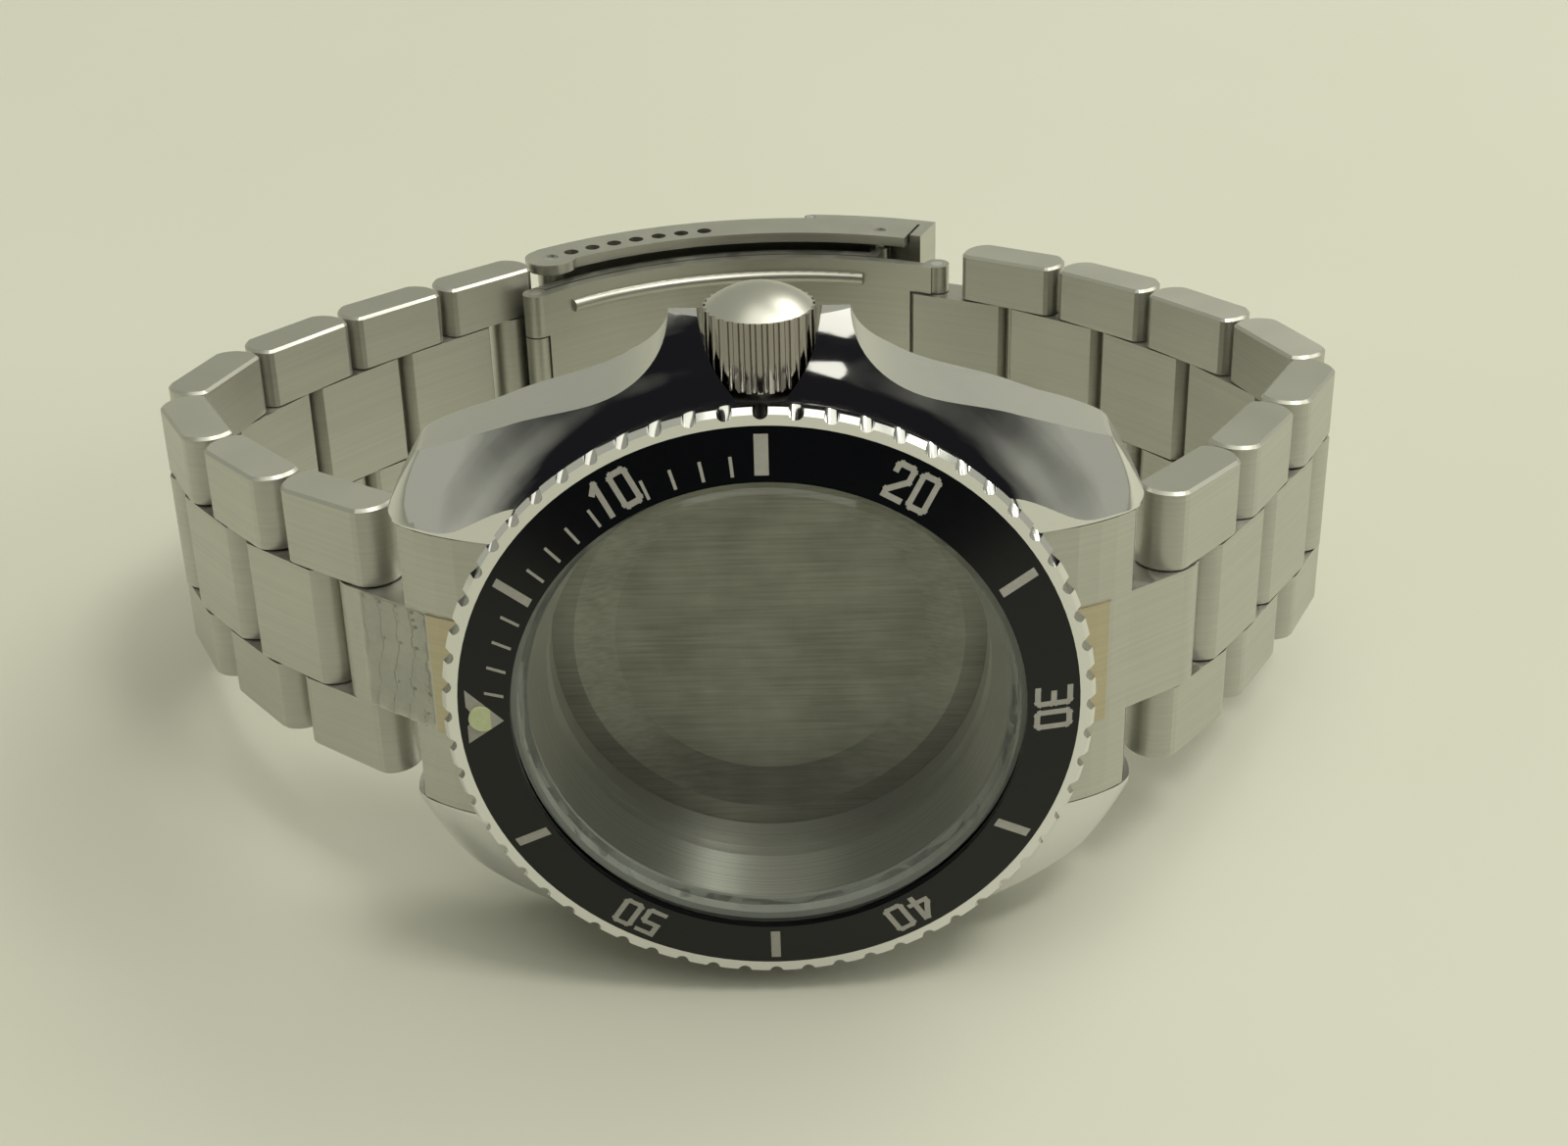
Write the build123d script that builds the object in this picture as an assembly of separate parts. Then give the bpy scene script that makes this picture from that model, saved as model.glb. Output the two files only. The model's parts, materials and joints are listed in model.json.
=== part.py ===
from build123d import *
import math
import os

os.makedirs("parts", exist_ok=True)

# Plan of the case, seen on the dial: X along the strap line, Z towards the crown
lug_reach = 23.5
lug_corner_x = 21.0
lug_corner_z = 14.6
lug_side_x = 22.8
lug_side_z = 12.4
lug_end_z = 10.4
flank_z = 19.8
lug_gap_half = 10.0
guard_tip_z = 23.9
guard_root_x = 15.4
guard_flank = [(11.4, 18.35), (8.3, 19.55), (6.4, 21.1), (5.35, 23.9)]

# Side view of the case: Y runs from the dial to the caseback
case_top_y = -3.1
case_back_y = 4.2
lug_top = [(14.5, -3.1), (17.1, -2.45), (19.1, -1.75), (20.5, -1.1), (21.6, -0.45), (22.8, 0.5), (23.4, 1.5)]
lug_under = [(23.5, 2.6), (23.1, 4.4), (21.6, 5.1), (18.8, 4.8), (16.9, 4.2)]
guard_side = [(-3.1, 20.0), (-1.3, 23.2), (0.2, 23.9), (1.8, 23.3), (4.2, 19.8)]
top_slope = [
    (19.2, -3.1), (20.4, -2.6), (21.6, -1.85), (22.8, -1.15), (23.8, -0.5), (24.9, 0.45), (25.7, 1.7),
]
edge_break = 0.15

# Neck, crystal and the rings under it, all set out from the round window under the crystal
rehaut_top_radius = 14.9
rehaut_rim = 0.3
rehaut_outer = rehaut_top_radius + rehaut_rim
rehaut_taper = 0.9
rehaut_low_radius = rehaut_top_radius - rehaut_taper
rehaut_depth = 3.2
crystal_overlap = 0.5
crystal_radius = rehaut_top_radius + crystal_overlap
crystal_top_y = -7.0
crystal_thickness = 2.2
crystal_edge = 0.3
gasket_wall = 0.45
gasket_foot = 0.3
neck_wall = 0.45
neck_radius = crystal_radius + gasket_wall + neck_wall
neck_top_y = -5.6
cavity_step = 0.3
cavity_radius = rehaut_top_radius - cavity_step
ledge_y = 0.6
ledge_width = 0.6
ledge_radius = cavity_radius - ledge_width
snug = 0.02
run_gap = 0.05

# Bezel, its insert and the wire that holds it
insert_gap = 0.35
insert_inner = crystal_radius + insert_gap
insert_width = 3.25
insert_outer = insert_inner + insert_width
insert_rise = 0.7
insert_thickness = 0.5
bezel_lip = 0.7
bezel_rim_radius = insert_outer + bezel_lip
bezel_edge = 0.3
bezel_radius = bezel_rim_radius + bezel_edge
bezel_taper = 0.7
bezel_low_radius = bezel_radius - bezel_taper
bezel_bottom_y = -3.35
bezel_wide_y = -5.55
bezel_rim_y = -6.0
notch_count = 60
notch_radius = 0.45
notch_inset = 0.15
notch_centre = bezel_radius - notch_inset
pip_radius = 0.85
pip_inset = 1.75
pip_place = insert_inner + pip_inset
pip_proud = 0.12
wire_radius = 0.3
wire_y = -4.2

# Caseback and its seal
back_thread_wall = 1.4
back_plug_radius = cavity_radius + back_thread_wall
back_plug_depth = 1.6
back_flange_width = 1.0
back_flange_radius = back_plug_radius + back_flange_width
back_thickness = 1.6
back_recess_radius = 10.0
back_recess_depth = 0.5
back_inner_recess = 0.7
back_dish_radius = 12.6
back_key_count = 12
back_key_width = 1.8
back_key_depth = 0.7
back_key_deep = 0.6
seal_radius = 0.35
seal_inset = 0.45
seal_place = back_plug_radius + seal_inset

# Crown, tube and seal
crown_y = 0.35
crown_radius = 3.32
crown_start_z = 19.65
crown_knurl_z = 24.0
crown_apex_z = 25.2
crown_pocket_radius = 3.7
crown_pocket_floor = 19.2
crown_wall = 0.8
crown_flute_count = 30
crown_flute_radius = 0.2
tube_radius = 1.9
tube_bore = 1.0
tube_step = 0.7
tube_start_z = cavity_radius + tube_step
tube_end_z = 22.6
crown_bore_end_z = 23.0
crown_seal_radius = 0.35

# End links and the bars that hold them
end_link_gap = 0.06
end_link_inner = 18.9
end_link_lip = 0.4
end_link_back_y = 4.3
end_link_row_end = 21.4
end_link_row_rise = 0.15
end_link_row_fall = 0.5
spring_bar_x = 20.9
spring_bar_y = 2.3
spring_bar_radius = 0.9
spring_bar_tip_radius = 0.5
spring_bar_tip = 1.4

# Bracelet, a pivot at every half pitch
half_pitch = 4.5
pivot_x = 25.6
pivot_y = 5.0
link_end = 2.1
link_inner = 1.5
link_outer = 1.9
centre_half = 4.25
side_gap = 0.1
pin_radius = 0.55
head_sink = 0.25
outer_halves = [9.82, 9.58, 9.33, 9.08, 8.83, 8.58, 8.33, 8.08]
side_round = 0.2
pin_blind = 1.6
degree_12 = [54, 50, 40, 38, 27, 5, -19, -31, -38, -41, -45, -47, -47, -52]
degree_6 = [40, 35, 31, 33, 27, 2, -22, -31, -38, -41, -46, -52, -57, -65]

# Clasp, laid on an arc through the two last pivots
clasp_radius = 33.0
clasp_half = 8.0
clasp_wall = 0.8
clasp_skin = 0.8
clasp_depth = 3.7
clasp_bar_drop = 2.2
clasp_far_drop = 4.8
clasp_bar_radius = 0.6
clasp_end_clear = 2.4
clasp_end_barrel = 1.15
adjust_count = 8
adjust_step = 2.1
adjust_hole = 0.6
blade_thickness = 0.9
blade_outer_drop = 4.0
blade_inner_drop = 5.1
blade_half = 6.6
blade_pin_radius = 0.5
blade_knuckle = 1.0
blade_fold_half = 3.0
blade_hinge_past = 6.6
blade_hinge_drop = 2.3
fold_past = 4.1
rib_half = 0.5
rib_place = 4.5
rib_near_past = 3.6
rib_far_past = 7.2
lock_start_past = 13.2
lock_end_past = 3.7
lock_thickness = 1.0
lock_gap = 0.15
lock_hook = 2.6
lock_half = 7.9
lock_pin_radius = 0.4
lock_knuckle_half = 5.0

# Lean of the standing watch, set by where it touches the table
touch_case_y = 3.2
touch_case_z = -19.8
touch_clasp_y = 61.5
touch_clasp_z = -8.0


def slab(points, low, high):
    face = make_face(Polyline(*points, close=True))
    return Pos(0, 0, low) * extrude(face, amount=high - low)


def turned(points):
    return revolve(make_face(Polyline(*points, close=True)), axis=Axis.Y)


def rod(x, y, radius, low, high):
    return Pos(x, y, (low + high) / 2) * Cylinder(radius, high - low)


def hoop(place, y, radius):
    return Pos(0, y, 0) * Rot(90, 0, 0) * Torus(place, radius)


def mirror_x(points):
    return [(-x, y) for x, y in points]


# Case middle, one forging with lugs and crown guards
def flank_at(x):
    drop = flank_z - lug_corner_z
    radius = (lug_corner_x ** 2 + drop ** 2) / (2 * drop)
    return flank_z - radius + math.sqrt(radius ** 2 - x ** 2)


def case_plan():
    low = [(lug_corner_x, -lug_corner_z), (lug_side_x, -lug_side_z), (lug_reach, -lug_end_z)]
    high = [(x, -z) for x, z in low]
    root = (guard_root_x, flank_at(guard_root_x))
    middle = (lug_corner_x + guard_root_x) / 2
    edges = [ThreePointArc(mirror_x(low)[0], (0, -flank_z), low[0])]
    for side in (1, -1):
        put = low if side > 0 else mirror_x(low)
        top = high if side > 0 else mirror_x(high)
        guard = [root] + guard_flank if side > 0 else mirror_x([root] + guard_flank)
        edges.append(ThreePointArc(*put))
        edges.append(Line(put[2], top[2]))
        edges.append(ThreePointArc(*top))
        edges.append(ThreePointArc(top[0], (side * middle, flank_at(middle)), guard[0]))
        edges.append(Spline(*guard))
    edges.append(Line(guard_flank[-1], mirror_x(guard_flank)[-1]))
    return make_face(Wire(edges))


def case_side():
    top = Spline(*lug_top)
    tip = Spline(lug_top[-1], *lug_under)
    top_left = Spline(*mirror_x(lug_top))
    tip_left = Spline(*mirror_x([lug_top[-1]] + lug_under))
    across = Line(mirror_x(lug_top)[0], lug_top[0])
    under = Line(lug_under[-1], mirror_x(lug_under)[-1])
    face = make_face(Wire([across, top, tip, under, tip_left, top_left]))
    return Pos(0, 0, -guard_tip_z) * extrude(face, amount=2 * guard_tip_z)


def plan_to_solid(face, low, high):
    return Pos(0, high, 0) * Rot(90, 0, 0) * extrude(face, amount=high - low)


def guard_cut():
    side = [(-guard_tip_z, case_top_y)]
    side += [(z, y) for y, z in guard_side]
    side += [(guard_side[-1][1], lug_reach), (-guard_tip_z, lug_reach)]
    face = make_face(Polyline(*side, close=True))
    return Pos(-lug_reach, 0, 0) * Rot(0, -90, 0) * extrude(face, amount=-2 * lug_reach)


# Top of the case falls away from the bezel like a shallow turned cone
def case_slope():
    rim = top_slope[-1]
    edges = [
        Line((0, case_top_y), top_slope[0]),
        Spline(*top_slope),
        Line(rim, (rim[0], lug_reach)),
        Line((rim[0], lug_reach), (0, lug_reach)),
        Line((0, lug_reach), (0, case_top_y)),
    ]
    return revolve(make_face(Wire(edges)), axis=Axis.Y)


def mid_case():
    body = plan_to_solid(case_plan(), crystal_top_y, lug_reach) & case_side() & guard_cut() & case_slope()
    core = turned([
        (0, case_top_y), (end_link_inner, case_top_y),
        (end_link_inner, case_back_y), (0, case_back_y)])
    for side in (1, -1):
        reach = Pos(side * pivot_x, 0, 0) * Box(pivot_x, 2 * lug_reach, 2 * lug_gap_half)
        body = body - (reach - core)
    neck = turned([(0, case_back_y), (neck_radius, case_back_y), (neck_radius, neck_top_y), (0, neck_top_y)])
    body = body + neck
    seat_y = crystal_top_y + crystal_thickness + gasket_foot
    rehaut_low = seat_y + rehaut_depth
    plug_y = case_back_y - back_plug_depth
    bore = crystal_radius + gasket_wall + snug
    body = body - turned([
        (0, crystal_top_y), (bore, crystal_top_y), (bore, seat_y),
        (rehaut_outer + snug, seat_y), (rehaut_outer + snug, rehaut_low),
        (cavity_radius, rehaut_low), (cavity_radius, ledge_y),
        (ledge_radius, ledge_y), (ledge_radius, plug_y - run_gap),
        (back_plug_radius + run_gap, plug_y - run_gap), (back_plug_radius + run_gap, lug_reach),
        (0, lug_reach)])
    body = body - hoop(neck_radius, wire_y, wire_radius + run_gap)
    body = body - hoop(seal_place, case_back_y, seal_radius + run_gap)
    pocket = rod(0, crown_y, crown_pocket_radius, crown_pocket_floor, guard_tip_z + crown_radius)
    body = body - pocket
    body = body - rod(0, crown_y, tube_radius, tube_start_z, guard_tip_z)
    body = body - rod(0, crown_y, tube_bore, 0, tube_start_z)
    hole_end = lug_gap_half + spring_bar_tip + run_gap
    for side in (1, -1):
        hole = rod(side * spring_bar_x, spring_bar_y, spring_bar_tip_radius + run_gap, -hole_end, hole_end)
        body = body - hole
    return body


def crown_tube():
    tube = rod(0, crown_y, tube_radius, tube_start_z, tube_end_z)
    return tube - rod(0, crown_y, tube_bore, tube_start_z, tube_end_z)


# Crown, fluted, hollow, running over its tube
def crown():
    dome_r = crown_radius - edge_break
    rise = crown_apex_z - crown_knurl_z
    ball = (dome_r * dome_r + rise * rise) / (2 * rise)
    body = rod(0, crown_y, crown_radius, crown_start_z, crown_knurl_z)
    cap = Pos(0, crown_y, crown_apex_z - ball) * Sphere(ball)
    keep = rod(0, crown_y, dome_r, crown_knurl_z, crown_apex_z)
    body = body + (cap & keep)
    step = 360 / crown_flute_count
    for turn in range(crown_flute_count):
        angle = math.radians(turn * step)
        x = crown_radius * math.cos(angle)
        y = crown_y + crown_radius * math.sin(angle)
        body = body - rod(x, y, crown_flute_radius, crown_start_z, crown_knurl_z)
    body = body - rod(0, crown_y, tube_radius + run_gap, crown_start_z, crown_bore_end_z)
    return body - crown_seal_ring(crown_seal_radius + run_gap)


def crown_seal_ring(radius):
    return Pos(0, crown_y, crown_start_z + crown_wall) * Torus(tube_radius + crown_seal_radius, radius)


def crown_gasket():
    ring = crown_seal_ring(crown_seal_radius)
    return ring - rod(0, crown_y, tube_radius + run_gap, crown_start_z, crown_bore_end_z)


def crystal():
    low = crystal_top_y + crystal_thickness
    return turned([
        (0, crystal_top_y), (crystal_radius - crystal_edge, crystal_top_y),
        (crystal_radius, crystal_top_y + crystal_edge), (crystal_radius, low), (0, low)])


def crystal_gasket():
    low = crystal_top_y + crystal_thickness
    outer = crystal_radius + gasket_wall
    return turned([
        (crystal_radius, neck_top_y), (outer, neck_top_y), (outer, low + gasket_foot),
        (rehaut_top_radius, low + gasket_foot), (rehaut_top_radius, low), (crystal_radius, low)])


def rehaut_ring():
    top = crystal_top_y + crystal_thickness + gasket_foot
    return turned([
        (rehaut_top_radius, top), (rehaut_outer, top),
        (rehaut_outer, top + rehaut_depth), (rehaut_low_radius, top + rehaut_depth)])


# Rotating bezel with rounded notches round its rim
def bezel_ring():
    inner = neck_radius + run_gap
    body = turned([
        (inner, bezel_bottom_y), (bezel_low_radius, bezel_bottom_y), (bezel_radius, bezel_wide_y),
        (bezel_rim_radius, bezel_rim_y), (insert_outer + snug, bezel_rim_y),
        (insert_outer + snug, insert_y(insert_outer + snug) + insert_thickness),
        (inner, insert_y(inner) + insert_thickness)])
    step = 360 / notch_count
    height = bezel_bottom_y - bezel_rim_y
    for turn in range(notch_count):
        spot = Rot(0, turn * step, 0) * Pos(notch_centre, (bezel_bottom_y + bezel_rim_y) / 2, 0)
        body = body - spot * Rot(90, 0, 0) * Cylinder(notch_radius, 2 * height)
        body = body - spot * Pos(notch_radius, 0, 0) * Box(2 * notch_radius, 2 * height, 2 * notch_radius)
    return body - hoop(neck_radius, wire_y, wire_radius + run_gap)


def insert_y(place):
    return bezel_rim_y - insert_rise * (insert_outer - place) / (insert_outer - insert_inner)


def bezel_insert():
    low = insert_thickness
    body = turned([
        (insert_outer, bezel_rim_y), (insert_outer, bezel_rim_y + low),
        (insert_inner, insert_y(insert_inner) + low), (insert_inner, insert_y(insert_inner))])
    return body - pip_post(pip_radius)


def pip_post(radius):
    middle = insert_y(pip_place) + insert_thickness / 2 - pip_proud
    return Pos(-pip_place, middle, 0) * Rot(90, 0, 0) * Cylinder(radius, insert_thickness)


def lume_pip():
    return pip_post(pip_radius)


def bezel_wire():
    return hoop(neck_radius, wire_y, wire_radius)


# Screwed back with key notches, a shallow round recess on its inner face
def caseback():
    inner = case_back_y - back_plug_depth
    outer = case_back_y + back_thickness
    body = turned([
        (0, inner + back_inner_recess), (back_recess_radius, inner + back_inner_recess),
        (back_dish_radius, inner), (back_plug_radius, inner), (back_plug_radius, case_back_y),
        (back_flange_radius, case_back_y), (back_flange_radius, outer - edge_break),
        (back_flange_radius - edge_break, outer), (back_recess_radius, outer),
        (back_recess_radius, outer - back_recess_depth), (0, outer - back_recess_depth)])
    step = 360 / back_key_count
    for turn in range(back_key_count):
        block = Box(2 * back_key_deep, 2 * back_key_depth, back_key_width)
        body = body - Rot(0, turn * step, 0) * Pos(back_flange_radius, outer, 0) * block
    return body - hoop(seal_place, case_back_y, seal_radius + run_gap)


def caseback_gasket():
    return hoop(seal_place, case_back_y, seal_radius)


# Fitted end link, its tongue carries the first bracelet pivot
def end_link(side):
    width = lug_gap_half - end_link_gap
    points = lug_top[:-1]
    top = [(end_link_inner - link_end, lug_top[1][1])] + points[2:]
    under = [(points[-1][0] + end_link_lip, end_link_back_y - link_inner), (lug_corner_x, end_link_back_y)]
    under += [(end_link_inner - link_end, end_link_back_y)]
    body = slab(top + under, -width, width)
    row = [(x, y - end_link_row_rise) for x, y in top if x < end_link_row_end]
    row += [(end_link_row_end, row[-1][1] + end_link_row_fall), (end_link_row_end, end_link_back_y)]
    body = body + slab(row + [under[-1]], -centre_half, centre_half)
    body = body - turned([
        (0, crystal_top_y), (end_link_inner + end_link_gap, crystal_top_y),
        (end_link_inner + end_link_gap, lug_reach), (0, lug_reach)])
    body = body - rod(pivot_x, pivot_y, link_end + 2 * side_gap, -width, width)
    rise = pivot_y - link_outer
    tongue = [(lug_corner_x, points[-1][1] - edge_break), points[-1], (pivot_x + link_outer / 2, rise)]
    tongue += [(pivot_x, pivot_y), (pivot_x - link_inner, pivot_y + link_inner)]
    tongue += [(lug_corner_x, end_link_back_y)]
    body = body + slab(tongue, -centre_half, centre_half)
    body = body + rod(pivot_x, pivot_y, link_end, -centre_half, centre_half)
    body = body - rod(pivot_x, pivot_y, pin_radius + run_gap, -centre_half, centre_half)
    body = body - rod(spring_bar_x, spring_bar_y, spring_bar_radius + run_gap, -width, width)
    return body if side > 0 else Rot(0, 180, 0) * body


def spring_bar(side):
    x = side * spring_bar_x
    half = lug_gap_half - 2 * end_link_gap
    tip = lug_gap_half + spring_bar_tip
    barrel = rod(x, spring_bar_y, spring_bar_radius, -half, half)
    return barrel + rod(x, spring_bar_y, spring_bar_tip_radius, -tip, tip)


# Bracelet pivots and the pieces between them
def pivots(side, degrees):
    spots = [(side * pivot_x, pivot_y)]
    for angle in degrees:
        x, y = spots[-1]
        turn = math.radians(angle)
        spots.append((x + side * half_pitch * math.sin(turn), y + half_pitch * math.cos(turn)))
    return spots


def laid(side, spot, degrees, shape):
    base = 90 - side * degrees
    return Pos(spot[0], spot[1], 0) * Rot(0, 0, base) * shape


def link_profile(side, low, high):
    body = rod(0, 0, link_end, low, high) + rod(half_pitch, 0, link_end, low, high)
    body = body + Pos(half_pitch / 2, 0, (low + high) / 2) * Box(half_pitch, 2 * link_end, high - low)
    top = link_outer
    under = -link_inner
    if side > 0:
        top = link_inner
        under = -link_outer
    keep = slab([
        (-2 * link_end, under), (half_pitch + 2 * link_end, under),
        (half_pitch + 2 * link_end, top), (-2 * link_end, top)], low, high)
    return body & keep


def outer_link(side, number, with_first_pin):
    near = outer_halves[number]
    far = outer_halves[number + 1]
    inner = centre_half + side_gap
    plate = link_profile(side, inner, near)
    end = half_pitch + link_end
    wedge = [(-link_end, inner), (end, inner), (end, far), (-link_end, near)]
    trim = Rot(-90, 0, 0) * slab([(u, -z) for u, z in wedge], -link_end, link_end)
    plate = plate & trim
    rims = [e for e in plate.edges() if (e @ 0.5).Z > (far + inner) / 2]
    plate = chamfer(rims, side_round)
    low_plate = mirror(plate, about=Plane.XY)
    for place in (0, half_pitch):
        plate = plate - rod(place, 0, pin_radius, inner, inner + pin_blind)
        low_plate = low_plate - rod(place, 0, pin_radius, -near, -inner)
    pieces = [plate, low_plate]
    places = [half_pitch]
    if with_first_pin:
        places = [0, half_pitch]
    for place in places:
        reach = far - head_sink
        pieces.append(rod(place, 0, pin_radius, -reach, inner + pin_blind))
    return pieces


def centre_link(side):
    body = link_profile(side, -centre_half, centre_half)
    for place in (0, half_pitch):
        body = body - rod(place, 0, pin_radius + run_gap, -centre_half, centre_half)
    return body


def clasp_side_link(side):
    half = centre_half
    wide = link_inner + edge_break
    body = rod(0, 0, wide, -half, half)
    sides = [(0, -wide), (0, wide), (half_pitch, clasp_end_barrel), (half_pitch, -clasp_end_barrel)]
    body = body + slab(sides, -half, half)
    tube = clasp_half - clasp_wall - side_gap
    body = body + rod(half_pitch, 0, clasp_end_barrel, -tube, tube)
    body = body - rod(half_pitch, 0, clasp_bar_radius + run_gap, -tube, tube)
    return body - rod(0, 0, pin_radius + run_gap, -half, half)


# Clasp frame: the arc's centre follows from the two last pivots
def clasp_centre(near, far):
    near_r = clasp_radius - clasp_bar_drop
    far_r = clasp_radius - clasp_far_drop
    span = math.dist(near, far)
    along = (near_r ** 2 - far_r ** 2 + span ** 2) / (2 * span)
    drop = math.sqrt(near_r ** 2 - along ** 2)
    ux = (far[0] - near[0]) / span
    uy = (far[1] - near[1]) / span
    return (near[0] + along * ux + drop * uy, near[1] + along * uy - drop * ux)


def polar(spot):
    return math.degrees(math.atan2(spot[1] - centre[1], spot[0] - centre[0]))


def on_arc(radius, angle):
    turn = math.radians(angle)
    return (centre[0] + radius * math.cos(turn), centre[1] + radius * math.sin(turn))


def arc_band(inner, outer, start, end, low, high):
    middle = (start + end) / 2
    edges = [
        ThreePointArc(on_arc(outer, start), on_arc(outer, middle), on_arc(outer, end)),
        Line(on_arc(outer, end), on_arc(inner, end)),
        ThreePointArc(on_arc(inner, end), on_arc(inner, middle), on_arc(inner, start)),
        Line(on_arc(inner, start), on_arc(outer, start)),
    ]
    return Pos(0, 0, low) * extrude(make_face(Wire(edges)), amount=high - low)


def arc_angle(length):
    return math.degrees(length / clasp_radius)


def clasp_cover():
    right = far_angle + arc_angle(lock_end_past + lock_gap)
    inside = clasp_half - clasp_wall
    skin = clasp_radius - clasp_skin
    body = arc_band(skin, clasp_radius, right, near_angle, -clasp_half, clasp_half)
    body = body - rod(near[0], near[1], clasp_end_clear, -inside, inside)
    for wall_low, wall_high in ((inside, clasp_half), (-clasp_half, -inside)):
        wall = arc_band(clasp_radius - clasp_depth, clasp_radius, right, near_angle, wall_low, wall_high)
        body = body + wall
        body = body + rod(near[0], near[1], link_end, wall_low, wall_high)
    for turn in range(adjust_count):
        x, y = on_arc(clasp_radius - clasp_bar_drop, near_angle - arc_angle(adjust_step * turn))
        body = body - rod(x, y, adjust_hole, -clasp_half, clasp_half)
    body = body - rod(hinge[0], hinge[1], blade_pin_radius, -clasp_half, clasp_half)
    return body + clasp_lock_knuckle(lock_pin_spot())


def lock_pin_spot():
    return on_arc(clasp_radius + lock_gap + lock_pin_radius, far_angle + arc_angle(lock_start_past))


def clasp_lock_knuckle(spot):
    half = lock_knuckle_half
    middle = far_angle + arc_angle(lock_start_past)
    reach = arc_angle(lock_pin_radius)
    barrel = rod(spot[0], spot[1], lock_pin_radius + lock_gap, -half, half)
    top = clasp_radius + lock_gap + lock_pin_radius
    foot = arc_band(clasp_radius - clasp_skin, top, middle - reach, middle + reach, -half, half)
    return barrel + foot - rod(spot[0], spot[1], lock_pin_radius, -half, half)


def clasp_spring_bar():
    half = clasp_half - edge_break
    return rod(near[0], near[1], clasp_bar_radius, -half, half)


def cover_pin():
    half = clasp_half - edge_break
    return rod(hinge[0], hinge[1], blade_pin_radius, -half, half)


def fold_pin():
    return rod(fold[0], fold[1], blade_pin_radius, -blade_half, blade_half)


def far_pin():
    return rod(far[0], far[1], blade_pin_radius, -blade_half, blade_half)


# Long blade under the cover, hinged to it by the right end
def blade_outer():
    outer = clasp_radius - blade_outer_drop
    inner = outer - blade_thickness
    start = polar(hinge)
    body = arc_band(inner, outer, start, polar(fold), -blade_half, blade_half)
    body = body - rod(fold[0], fold[1], blade_knuckle + side_gap, -blade_half, blade_half)
    body = body + rod(fold[0], fold[1], blade_knuckle, -blade_fold_half, blade_fold_half)
    tongue_end = polar(fold) - arc_angle(blade_knuckle)
    body = body + arc_band(inner, outer, start, tongue_end, -blade_fold_half, blade_fold_half)
    arm = arc_band(inner, clasp_radius - blade_hinge_drop, start - arc_angle(blade_knuckle / 2),
                   start + arc_angle(blade_knuckle / 2), -blade_half, blade_half)
    body = body + arm + rod(hinge[0], hinge[1], blade_knuckle - edge_break, -blade_half, blade_half)
    body = body - rod(hinge[0], hinge[1], blade_pin_radius + run_gap, -blade_half, blade_half)
    return body - rod(fold[0], fold[1], blade_pin_radius + run_gap, -blade_half, blade_half)


# Short blade next to the wrist, two pressed ribs, holds the 6 o'clock side
def blade_inner():
    outer = clasp_radius - blade_inner_drop
    inner = outer - blade_thickness
    body = arc_band(inner, outer, far_angle, polar(fold), -blade_half, blade_half)
    rib_start = far_angle + arc_angle(rib_far_past)
    rib_end = polar(fold) - arc_angle(rib_near_past)
    for side in (1, -1):
        middle = side * (rib_place + rib_half)
        ring = Pos(centre[0], centre[1], middle) * Torus(inner, rib_half)
        low = middle - rib_half
        body = body + (ring & arc_band(inner - rib_half, outer, rib_start, rib_end, low, low + 2 * rib_half))
    clear = blade_fold_half + side_gap
    body = body - rod(fold[0], fold[1], blade_knuckle + side_gap, -clear, clear)
    for low in (clear, -blade_half):
        body = body + rod(fold[0], fold[1], blade_knuckle, low, low + blade_half - clear)
    gap = centre_half + side_gap
    body = body - rod(far[0], far[1], link_end + 2 * side_gap, -gap, gap)
    for low in (gap, -blade_half):
        body = body + rod(far[0], far[1], blade_knuckle, low, low + blade_half - gap)
    body = body - rod(far[0], far[1], blade_pin_radius, -blade_half, blade_half)
    return body - rod(fold[0], fold[1], blade_pin_radius, -blade_half, blade_half)


# Flip lock over the cover's right end
def safety_lock():
    inner = clasp_radius + lock_gap
    outer = inner + lock_thickness
    start = far_angle + arc_angle(lock_end_past)
    end = far_angle + arc_angle(lock_start_past)
    body = arc_band(inner, outer, start, end, -lock_half, lock_half)
    body = body + arc_band(clasp_radius - lock_hook, outer, start - arc_angle(lock_thickness), start,
                           -lock_half, lock_half)
    spot = lock_pin_spot()
    knee = lock_knuckle_half + side_gap
    body = body - rod(spot[0], spot[1], lock_pin_radius + 2 * lock_gap, -knee, knee)
    barrel = lock_pin_radius + lock_gap - run_gap
    for low in (knee, -lock_half):
        body = body + rod(spot[0], spot[1], barrel, low, low + lock_half - knee)
    return body - rod(spot[0], spot[1], lock_pin_radius + run_gap, -lock_half, lock_half)


def lock_pin():
    spot = lock_pin_spot()
    return rod(spot[0], spot[1], lock_pin_radius, -lock_half, lock_half)


def end_pin():
    return rod(pivot_x, pivot_y, pin_radius, -centre_half + edge_break, centre_half - edge_break)


spots_12 = pivots(-1, degree_12)
spots_6 = pivots(1, degree_6)
near = spots_12[-1]
far = spots_6[-1]
centre = clasp_centre(near, far)
near_angle = polar(near)
far_angle = polar(far)
hinge = on_arc(clasp_radius - blade_hinge_drop, far_angle + arc_angle(blade_hinge_past))
fold_drop = (blade_outer_drop + blade_inner_drop + blade_thickness) / 2
fold = on_arc(clasp_radius - fold_drop, near_angle + arc_angle(fold_past))

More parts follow.
